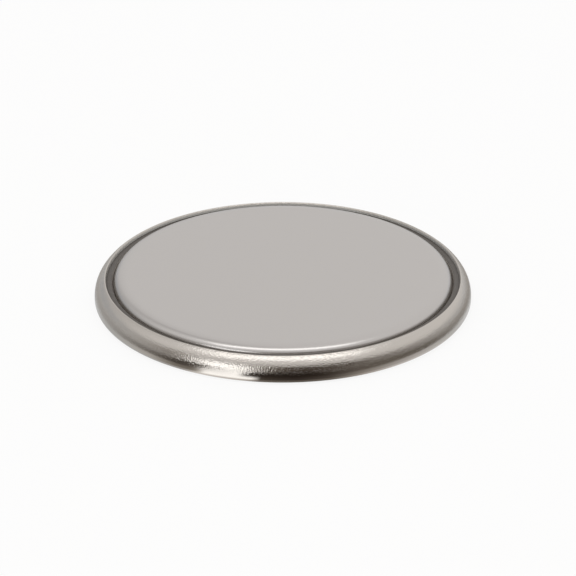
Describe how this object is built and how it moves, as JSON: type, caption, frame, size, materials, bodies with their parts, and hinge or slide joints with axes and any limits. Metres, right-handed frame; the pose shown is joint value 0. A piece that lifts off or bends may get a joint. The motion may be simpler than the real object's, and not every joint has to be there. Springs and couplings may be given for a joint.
{
  "type": "lithium coin cell",
  "caption": "Thin round lithium coin cell: a raised flat negative cap set in a rolled, crimped steel can, with a dark gasket in the groove between them.",
  "frame": {"origin": "centre of the positive face, on the surface that the cell lies on", "axes": "+Z along the cell's axis, out of the negative face; X and Y are free, because the cell is round"},
  "size_m": [0.02, 0.02, 0.0016],
  "materials": {
    "can_steel": "satin nickel plate on rolled steel",
    "gasket_plastic": "moulded polypropylene with dark sealant",
    "cap_steel": "fine satin nickel plate on rolled steel",
    "lithium_foil": "dull rolled metal foil",
    "separator_cloth": "white non-woven",
    "manganese_pellet": "matt pressed powder",
    "steel_mesh": "expanded mesh"
  },
  "bodies": {
    "root": {"positive_can": "can_steel", "sealing_gasket": "gasket_plastic", "negative_cap": "cap_steel", "lithium_anode": "lithium_foil", "separator": "separator_cloth", "cathode_pellet": "manganese_pellet", "cathode_collector": "steel_mesh"}
  },
  "joints": []
}
